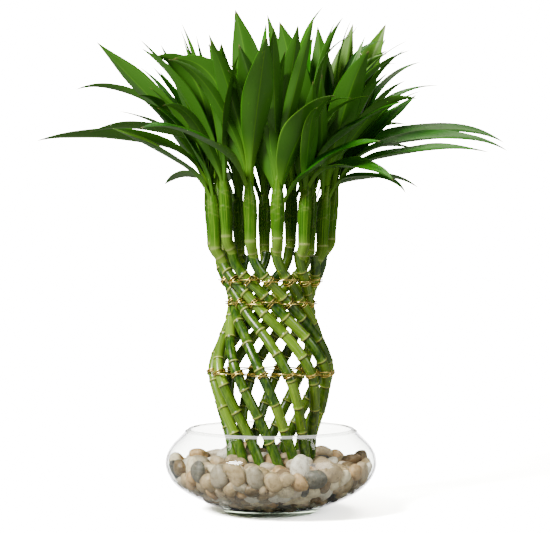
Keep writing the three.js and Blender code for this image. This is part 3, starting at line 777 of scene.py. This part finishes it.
# Leaves that stand out in the crown's outline: cane and place, and then as in the habit, but with
# the heading measured from +X, and with the roll about its own length before length and width.
SET_LEAVES = [
    # the long, nearly level ones at the left and the right
    (11, 0, 0.75, 184, 10, 82, 22, 18, 198, 30),
    (12, 0, 0.88, 194, 10, 80, 28, 15, 150, 27),
    (9, 1, 0.97, 172, 14, 58, 50, 25, 188, 20),
    (4, 0, 0.79, -4, 10, 80, 40, 30, 205, 28),
    (3, 0, 0.66, -8, 10, 82, 38, 25, 200, 28),
    (2, 0, 0.6, -12, 10, 80, 24, 20, 186, 26),
    # the rising ones at the left
    (10, 0, 0.95, 182, 14, 44, 0, 40, 178, 32),
    (12, 1, 0.85, 172, 5, 33, 22, 30, 157, 24),
    (9, 0, 0.8, 190, 8, 12, 10, 0, 168, 18),
    (10, 1, 0.7, 128, 10, 36, 20, 0, 150, 26),
    (10, 2, 0.65, 232, 10, 48, 25, 0, 140, 28),
    (11, 1, 0.6, 240, 10, 44, 20, 0, 150, 30),
    (11, 2, 0.75, 150, 8, 26, 10, 30, 150, 26),
    # broad ones that fold over at the front left
    (12, 2, 0.75, 200, 7, 16, 80, 65, 156, 36),
    (13, 0, 0.8, 190, 6, 19, 80, 70, 156, 36),
    # broad ones that face the front
    (13, 1, 0.7, 215, 4, 11, 15, 55, 132, 42),
    (0, 0, 0.6, 180, 3, 13, 10, 75, 150, 36),
    (0, 1, 0.5, 215, 4, 9, 10, 45, 126, 28),
    (0, 2, 0.6, -50, 8, 37, 50, 0, 134, 38),
    (0, 3, 0.45, -20, 14, 58, 35, 25, 130, 30),
    (1, 0, 0.9, -14, 12, 56, 15, 20, 122, 30),
    (1, 6, 0.9, 180, 2, 8, 10, 80, 158, 38),
    # drooping ones at the front right
    (1, 1, 0.8, -30, 16, 92, 40, 20, 106, 30),
    (2, 1, 0.78, -15, 14, 90, 60, 20, 94, 17),
    # the rising ones at the right
    (3, 1, 0.7, -5, 12, 44, 5, 35, 132, 32),
    (4, 1, 0.8, 5, 10, 30, 45, 30, 170, 18),
    (5, 1, 0.93, 10, 14, 50, 40, 20, 180, 18),
    (4, 3, 0.8, -10, 6, 20, 5, 80, 180, 36),
    (5, 3, 0.8, 10, 8, 26, 5, 60, 180, 30),
    # the upright ones
    (2, 6, 0.85, 170, 1, 1, 5, 90, 163, 30),
    (5, 6, 0.9, -10, 4, 12, 10, 60, 168, 22),
    (6, 6, 0.95, 0, 2, 2, 40, 30, 186, 18),
    (6, 5, 0.9, 180, 2, 8, 5, 60, 178, 24),
    (7, 6, 0.95, 180, 3, 9, 5, 80, 184, 40),
    (7, 5, 0.9, 0, 2, 5, 10, 60, 170, 22),
    (8, 6, 0.9, 180, 3, 9, 10, 60, 166, 22),
    (9, 6, 0.9, 160, 5, 13, 10, 40, 170, 18),
    (10, 6, 0.9, 150, 4, 10, 10, 40, 152, 20),
    (12, 6, 0.95, 180, 2, 4, 8, 40, 128, 26),
    (3, 6, 0.9, 0, 2, 5, 8, 60, 158, 26),
    (3, 3, 0.75, -50, 8, 34, 30, 20, 140, 32),
    (2, 3, 0.8, -60, 6, 22, 30, 10, 140, 32),
    # further ones that fill the crown behind them
    (5, 7, 0.75, -95, 6, 20, 20, 0, 132, 30),
    (9, 7, 0.75, -85, 6, 20, 20, 0, 132, 30),
    (6, 7, 0.8, -90, 4, 14, 10, 0, 130, 30),
    (8, 7, 0.8, -90, 4, 14, 10, 0, 130, 30),
    (7, 7, 0.8, -90, 3, 8, 10, 0, 138, 32),
]


def smooth_step(share):
    u = min(1, share)
    return u * u * (3 - 2 * u)


def stem_point(cane, share):
    root = cane.point(cane.top - STEM_START)
    step = smooth_step(share * STEM_HEIGHT / STEM_STEP_HEIGHT)
    out = STEM_STEP * step + STEM_FLARE * share**3
    point = root + cane.outward * out
    point.z = root.z + share * STEM_HEIGHT
    return point


def leaf_pose(cane, place, attempt):
    """How one leaf is held, at one of the attempts that were made to keep it clear of others."""
    draw = Seeded(1 + attempt + LEAF_TRIES * (place + len(HABIT) * cane.index))
    row = next((row for row in SET_LEAVES if row[:2] == (cane.index, place)), None)
    stray = attempt * STRAY_STEP if row else 1 + attempt * STRAY_STEP

    def vary(spread):
        return spread * stray * (2 * draw() - 1)

    if row:
        root, heading, sheath_lean, blade_lean, droop, roll, length, width = row[2:]
    else:
        root, heading, sheath_lean, blade_lean, droop, length, width = HABIT[place]
        roll = 0
        heading *= -1 if cane.index % 2 else 1
    return {
        "root": root,
        "heading": (0 if row else cane.azimuth) + radians(heading + vary(HEADING_STRAY)),
        "sheath_lean": radians(sheath_lean),
        "blade_lean": radians(blade_lean + vary(LEAN_STRAY)),
        "droop": radians(droop + vary(DROOP_STRAY)),
        "sway": radians(vary(SWAY_STRAY)),
        "roll": radians(roll + vary(ROLL_STRAY)),
        "length": length + vary(LENGTH_STRAY),
        "width": width + vary(WIDTH_STRAY),
    }


def leaf_sections(cane, pose):
    """Where each of a leaf's sections is, and its directions across and upward."""
    point = stem_point(cane, pose["root"])
    heading = pose["heading"]
    point += LEAF_ROOT_OFFSET * Vector((cos(heading), sin(heading), 0))
    sections = []
    for step in range(LEAF_STEPS + 1):
        share = step / LEAF_STEPS
        bend = (pose["blade_lean"] - pose["sheath_lean"]) * smooth_step(share / LEAF_KNEE)
        lean = pose["sheath_lean"] + bend + pose["droop"] * max(0, 2 * share - 1) ** 2
        heading = pose["heading"] + pose["sway"] * share
        along = Vector((sin(lean) * cos(heading), sin(lean) * sin(heading), cos(lean)))
        across = Vector((-sin(heading), cos(heading), 0))
        across = Matrix.Rotation(pose["roll"] * smooth_step(2 * share), 3, along) @ across
        if step:
            point = point + along * pose["length"] / LEAF_STEPS
        half_width = through(LEAF_OUTLINE, 1, share) * pose["width"] / 2
        fold = radians(LEAF_FOLD[0] + (LEAF_FOLD[1] - LEAF_FOLD[0]) * share)
        sections.append((point, along, across, along.cross(across), half_width, fold))
    return sections


def kept_leaves(cane):
    """The leaves of a shoot. The tips in the frame tell which attempt at each leaf was kept."""
    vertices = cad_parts[f"shoot_{cane.index + 1:02d}"].data.vertices
    tips = kdtree.KDTree(len(vertices))
    for i, vertex in enumerate(vertices):
        tips.insert(vertex.co, i)
    tips.balance()
    leaves = []
    for place in range(len(HABIT) + 1):
        is_set = any(row[:2] == (cane.index, place) for row in SET_LEAVES)
        for attempt in range(LEAF_TRIES if is_set or place < len(HABIT) else 0):
            sections = leaf_sections(cane, leaf_pose(cane, place, attempt))
            if tips.find(sections[-1][0] * MM)[2] < TIP_MATCH * MM:
                leaves.append((place, sections))
                break
    return leaves


def young_leaves(cane, crown):
    """Narrow leaves that rise through the crown, each kept where it has the most room."""
    draw = Seeded(YOUNG_SEED + cane.index)
    is_right = cane.outward.x > 0

    def drawn(low, high, power=1):
        return low + (high - low) * draw() ** power

    leaves = []
    for k in range(YOUNG_LEAVES[is_right]):
        best = (-1, None)
        for _ in range(YOUNG_TRIES):
            pose = {
                "root": drawn(*YOUNG_ROOTS),
                "heading": cane.azimuth + radians(drawn(-YOUNG_HEADING, YOUNG_HEADING)),
                "sheath_lean": radians(drawn(*YOUNG_SHEATH_LEANS)),
                "blade_lean": radians(drawn(*YOUNG_BLADE_LEANS, YOUNG_UPRIGHTNESS)),
                "droop": radians(drawn(0, YOUNG_DROOP)),
                "sway": radians(drawn(-YOUNG_SWAY, YOUNG_SWAY)),
                "roll": radians(drawn(-YOUNG_ROLL, YOUNG_ROLL)),
                "length": drawn(*YOUNG_LENGTHS[is_right]),
                "width": drawn(*YOUNG_WIDTHS),
            }
            sections = leaf_sections(cane, pose)
            midrib = [section[0] for section in sections[6::3]]
            room = min((point - other).length for point in midrib for other in crown)
            if room > best[0]:
                best = (room, sections)
        leaves.append((len(HABIT) + 1 + k, best[1]))
        crown += leaf_points(best[1])
    return leaves


def leaf_points(sections):
    """Points on a leaf's midrib and edges."""
    return [
        point + across * half_width * side
        for point, _, across, _, half_width, _ in sections[4::3]
        for side in (-0.9, 0, 0.9)
    ]


def stem_mesh(cane, leaves, shape):
    """Adds a stem, with ring scars near its foot and the slanting edges of the leaves' sheaths."""
    first = len(shape["points"])
    travelled = 0
    draw = Seeded(STEM_SEED + cane.index)
    scars = [share + STEM_SCAR_STRAY * draw() for share in STEM_SCARS]
    sheaths = []
    for place, sections in leaves:
        foot = sections[0][0]
        share = (foot.z - stem_point(cane, 0).z) / STEM_HEIGHT
        around = atan2(foot.y - stem_point(cane, share).y, foot.x - stem_point(cane, share).x)
        sheaths.append((share, around - cane.azimuth))
    for r in range(STEM_RINGS + 1):
        share = r / STEM_RINGS
        centre = stem_point(cane, share)
        if r:
            travelled += (centre - stem_point(cane, share - 1 / STEM_RINGS)).length
        along = (stem_point(cane, share + 0.01) - stem_point(cane, share - 0.01)).normalized()
        near_scar = min(abs(share - scar) for scar in scars) / STEM_SCAR_WIDTH
        ring = ring_round(centre, along, through(STEM_OUTLINE, 1, share), STEM_SIDES)
        for i, point in enumerate(ring):
            angle = 2 * pi * i / STEM_SIDES
            edge = 0
            for root, around in sheaths:
                below = root + SHEATH_SLANT * cos(angle - around) - share
                edge = max(edge, 1 - below / SHEATH_TAPER if below > 0 else 0)
            lift = SHEATH_EDGE * edge + STEM_SCAR_RISE * max(0, 1 - near_scar)
            outward = (point - centre).normalized()
            shape["points"].append(point + outward * lift * min(1, 3 - 3 * share))
            shape["mark"].append(max(0, 0.8 - near_scar, (edge - SHEATH_LINE) * 3))
        skin_shift = cane.index * STEM_SHIFT[0] + STEM_SHIFT[1]
        shape["skin"] += skin_at(travelled, STEM_SIDES, skin_shift)
        shape["blade"] += [(0.0, share, 0.0)] * STEM_SIDES
        shape["is_stem"] += [1.0] * STEM_SIDES
        shape["tint"] += [0.5] * STEM_SIDES
    shape["faces"] += loft_faces(STEM_RINGS + 1, STEM_SIDES, first)


def leaf_mesh(cane, place, sections, shape):
    """Adds a leaf: its blade dips at the midrib and waves a little along its edges."""
    first = len(shape["points"])
    draw = Seeded(WAVE_SEED + place + 10 * cane.index)
    phases = [2 * pi * draw() for _ in range(2)]
    waves = [LEAF_WAVES[0] + (LEAF_WAVES[1] - LEAF_WAVES[0]) * draw() for _ in range(2)]
    tint = draw()
    own_place = place + cane.index * BLADE_SHIFT
    columns = [c / LEAF_COLUMNS for c in range(-LEAF_COLUMNS, LEAF_COLUMNS + 1)]
    ring = [(u, 1) for u in columns] + [(u, -1) for u in columns[-2:0:-1]]
    for k, (centre, along, across, upward, half_width, fold) in enumerate(sections[:-1]):
        share = k / LEAF_STEPS
        for u, side in ring:
            wave = sin(2 * pi * waves[u > 0] * share + phases[u > 0])
            sway = LEAF_WAVE * wave * smooth_step(2 * share)
            rise = half_width * (sin(fold) * abs(u) ** LEAF_CUP + sway * u * u)
            skin = LEAF_EDGE + (LEAF_THICKNESS - LEAF_EDGE) * (1 - u * u)
            thickness = skin / 2 * side * (1 + THICK_FOOT[1] * max(0, THICK_FOOT[0] - share))
            offset = half_width * cos(fold) * u
            shape["points"].append(centre + across * offset + upward * (rise + thickness))
            shape["skin"].append((u * half_width * MM + tint * TINT_SHIFT, own_place, share))
            shape["blade"].append((u, share, 1.0 if side > 0 else -1.0))
            shape["is_stem"].append(0.0)
            shape["mark"].append(0.0)
            shape["tint"].append(tint)
    faces = loft_faces(len(sections) - 1, len(ring), first)
    last = faces.pop()
    tip = len(shape["points"])
    shape["points"].append(sections[-1][0])
    shape["skin"].append((tint * TINT_SHIFT, own_place, 1.0))
    shape["blade"].append((0.0, 1.0, 1.0))
    shape["is_stem"].append(0.0)
    shape["mark"].append(0.0)
    shape["tint"].append(tint)
    faces += [(last[i], last[(i + 1) % len(last)], tip) for i in range(len(last))]
    shape["faces"] += faces


leaf_skin, leaf_shader, add, link = new_material("leaf_skin")
parts = add("ShaderNodeSeparateXYZ", Vector=stored(add, "blade", "Vector"))
fine_veins = stripes(add, (1600, 1, 3), 3, 0.6)
broad_stripes = stripes(add, (160, 1, 5), 3, 0.5)
both_stripes = add("ShaderNodeMix", in0=0.6, in2=fine_veins, in3=broad_stripes)
leaf_colour = ramp(add, both_stripes.outputs["Result"], LEAF_GREENS)
leaf_tint = stored(add, "tint")
leaf_colour = blend(add, 1.0, leaf_colour, ramp(add, leaf_tint, LEAF_TINTS), "MULTIPLY")
leaf_colour = blend(add, ramp(add, leaf_tint, OLIVE_TINTS), leaf_colour, OLIVE_GREEN)
underside = add("ShaderNodeMath", {"operation": "LESS_THAN"}, in0=parts.outputs["Z"], in1=-0.2)
leaf_colour = blend(add, underside.outputs[0], leaf_colour, UNDERSIDE)
from_midrib = add("ShaderNodeMath", {"operation": "ABSOLUTE"}, in0=parts.outputs["X"])
leaf_colour = blend(add, ramp(add, from_midrib.outputs[0], MIDRIB_AND_EDGE), leaf_colour, RIB_GREEN)
leaf_colour = blend(add, ramp(add, parts.outputs["Y"], LEAF_FOOT), leaf_colour, FOOT_GREEN)
leaf_colour = blend(add, ramp(add, parts.outputs["Y"], DRY_TIP), leaf_colour, DRY_COLOUR)
stem_colour = ramp(add, stripes(add, (8.4, 8.4, 21.6), 5, 0.6), STEM_GREENS)
stem_colour = blend(add, ramp(add, parts.outputs["Y"], STEM_FOOT), stem_colour, STEM_FOOT_GREEN)
stem_colour = blend(add, stored(add, "mark"), stem_colour, MARK_COLOUR)
link(blend(add, stored(add, "is_stem"), leaf_colour, stem_colour), leaf_shader.inputs["Base Color"])
leaf_shader.inputs["Roughness"].default_value = 0.36
leaf_shader.inputs["Specular IOR Level"].default_value = 0.34
leaf_shader.inputs["Specular Tint"].default_value = (0.85, 1, 0.55, 1)
vein_bump = add("ShaderNodeBump", Height=fine_veins, Strength=0.12, Distance=0.0004)
link(vein_bump.outputs["Normal"], leaf_shader.inputs["Normal"])

shoots = [kept_leaves(cane) for cane in canes]
crown = [point for leaves in shoots for _, sections in leaves for point in leaf_points(sections)]
for cane, leaves in zip(canes, shoots):
    shape = {key: [] for key in ("points", "faces", "skin", "blade", "is_stem", "mark", "tint")}
    leaves += young_leaves(cane, crown)
    stem_mesh(cane, leaves, shape)
    for place, sections in leaves:
        leaf_mesh(cane, place, sections, shape)
    name = f"shoot_{cane.index + 1:02d}"
    values = {key: shape[key] for key in ("skin", "blade", "is_stem", "mark", "tint")}
    piece = mesh_piece(name + "_leaves", shape["points"], shape["faces"], leaf_skin, values)
    rounding = piece.modifiers.new("rounding", "SUBSURF")
    rounding.levels = rounding.render_levels = 1
    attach(piece, "root")
    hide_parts(name)


# ---- Wire ties ----
# Thin gold wire, doubled: its two strands pass on either side of every cane and change sides
# between them, and they are twisted into one at the back.

# Height, and how far each strand swings out past the canes' middles and in behind them.
TIES = [
    ("tie_belly", 134, 6.1),
    ("tie_waist_lower", 200, 7.5),
    ("tie_waist_upper", 221, 7.6),
]
WIRE_RADIUS = 0.65
STRAND_OFFSET = 0.9
TWIST_OFFSET = 0.3
WIRE_BEND = [(-6.8, 0.74), (0, 1), (6.8, 0.74)]  # along the wire from a cane, share of the reach
WINDING_OFFSET = 0.7
WINDING_POINTS = 10
WINDING_TILT = 0.5
WINDING_HEIGHTS = (-0.9, 0.7)
GOLD_TONES = [(0.35, (0.80, 0.55, 0.10)), (0.65, (1.0, 0.84, 0.28))]

gold, gold_shader, add, link = new_material("gold_wire")
gold_shader.inputs["Metallic"].default_value = 1.0
gold_shader.inputs["Roughness"].default_value = 0.28
drawn = add("ShaderNodeTexNoise", Scale=900, Detail=2)
link(ramp(add, drawn.outputs["Fac"], GOLD_TONES), gold_shader.inputs["Base Color"])


def strand_path(height, reach, side):
    """A closed path round the canes. side is +1 for the strand outside the first cane, else -1."""
    path = []
    behind = CANE_COUNT // 2
    for cane in canes:
        out = -side if cane.index % 2 else side
        for along, share in WIRE_BEND:
            is_twist = along != 0 and cane.index == (behind if along > 0 else behind + 1)
            centre = cane.point(height + side * (TWIST_OFFSET if is_twist else STRAND_OFFSET))
            radius = hypot(centre.x, centre.y)
            azimuth = atan2(centre.y, centre.x) + along / radius
            distance = radius + out * share * reach
            path.append(Vector((distance * cos(azimuth), distance * sin(azimuth), centre.z)))
    return path


def winding(cane, height):
    """A turn of wire round one cane."""
    along = (cane.point(height + 0.5) - cane.point(height - 0.5)).normalized()
    ring = ring_round(cane.point(height), along, CANE_RADIUS + WINDING_OFFSET, WINDING_POINTS)
    tilts = [WINDING_TILT * sin(2 * pi * i / WINDING_POINTS) for i in range(WINDING_POINTS)]
    return [point + along * tilt for point, tilt in zip(ring, tilts)]


for name, height, reach in TIES:
    curve = bpy.data.curves.new(name + "_wire", "CURVE")
    curve.dimensions = "3D"
    curve.bevel_depth = WIRE_RADIUS * MM
    curve.bevel_resolution = 3
    curve.resolution_u = 6
    paths = [strand_path(height, reach, side) for side in (1, -1)]
    paths += [winding(cane, height + offset) for cane in canes for offset in WINDING_HEIGHTS]
    for path in paths:
        strand = curve.splines.new("BEZIER")
        strand.bezier_points.add(len(path) - 1)
        strand.use_cyclic_u = True
        for knot, point in zip(strand.bezier_points, path):
            knot.co = point * MM
            knot.handle_left_type = knot.handle_right_type = "AUTO"
    curve.materials.append(gold)
    piece = bpy.data.objects.new(name + "_wire", curve)
    bpy.context.scene.collection.objects.link(piece)
    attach(piece, "root")
    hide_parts(name)


# ---- Table and light ----
# A plain white sweep under and behind the plant, in metres like the lamps. One lamp lights it from
# the upper left, a weaker one from the right, and a long strip lamp from above and behind.

SWEEP_WIDTH = 8
SWEEP_FRONT = -3
SWEEP_BACK = 2.5
SWEEP_BEND = 1.2
SWEEP_TOP = 5
SWEEP_GLARE = 22  # the sweep is overexposed, as in the photograph
SWEEP_GREY = (0.27, 0.27, 0.26, 1)  # what the plant and the glass get of it
SWEEP_DROP = 0.05  # millimetres under the bowl's foot
BEND_STEPS = 16
SURROUND_LIGHT = 0.05
SURROUND_GLARE = 12
LAMP_AIM = (0, 0, 0.25)

sweep_side = [(SWEEP_FRONT, 0)]
for i in range(BEND_STEPS + 1):
    angle = pi / 2 * i / BEND_STEPS
    sweep_y = SWEEP_BACK - SWEEP_BEND + SWEEP_BEND * sin(angle)
    sweep_side.append((sweep_y, SWEEP_BEND * (1 - cos(angle))))
sweep_side.append((SWEEP_BACK, SWEEP_TOP))
edges = (-SWEEP_WIDTH / 2, SWEEP_WIDTH / 2)
sweep_points = [(x / MM, y / MM, z / MM - SWEEP_DROP) for y, z in sweep_side for x in edges]
sweep_faces = [(2 * i, 2 * i + 1, 2 * i + 3, 2 * i + 2) for i in range(len(sweep_side) - 1)]
paper, paper_shader, add, link = new_material("white_sweep")
paper_shader.inputs["Roughness"].default_value = 0.35
paper_shader.inputs["Specular IOR Level"].default_value = 0.1
seen_by = add("ShaderNodeLightPath")
bounces = add(
    "ShaderNodeMath",
    {"operation": "ADD"},
    in0=seen_by.outputs["Diffuse Depth"],
    in1=seen_by.outputs["Glossy Depth"],
)
seen_straight = add("ShaderNodeMath", {"operation": "LESS_THAN"}, in0=bounces.outputs[0], in1=0.5)
glare = (SWEEP_GLARE, SWEEP_GLARE, SWEEP_GLARE * 0.99, 1)
link(blend(add, seen_straight.outputs[0], SWEEP_GREY, glare), paper_shader.inputs["Base Color"])
floor = mesh_piece("sweep", sweep_points, sweep_faces, paper)


def area_light(name, place, size, watts, colour):
    light = bpy.data.lights.new(name, "AREA")
    light.shape = "RECTANGLE"
    light.size, light.size_y = size
    light.energy = watts
    light.color = colour
    lamp = bpy.data.objects.new(name, light)
    lamp.location = place
    lamp.rotation_euler = (Vector(LAMP_AIM) - Vector(place)).to_track_quat("-Z", "Y").to_euler()
    bpy.context.scene.collection.objects.link(lamp)


area_light("key", (-1.5, -1.5, 1.7), (0.6, 0.6), 140, (1, 0.99, 0.95))
area_light("fill", (1.9, -1.2, 1.0), (1, 1), 17, (0.99, 1, 0.97))
area_light("strip", (0, 0.4, 2.0), (2.2, 0.6), 30, (1, 0.98, 0.9))
world = bpy.data.worlds.new("studio")
world.use_nodes = True
surround = world.node_tree.nodes["Background"]
surround.inputs["Color"].default_value = (1, 1, 1, 1)
ray = add_node(world.node_tree, "ShaderNodeLightPath", None, {})
surround_light = add_node(
    world.node_tree,
    "ShaderNodeMapRange",
    None,
    {"Value": ray.outputs["Is Camera Ray"], "To_Min": SURROUND_LIGHT, "To_Max": SURROUND_GLARE},
)
world.node_tree.links.new(surround_light.outputs["Result"], surround.inputs["Strength"])
bpy.context.scene.world = world
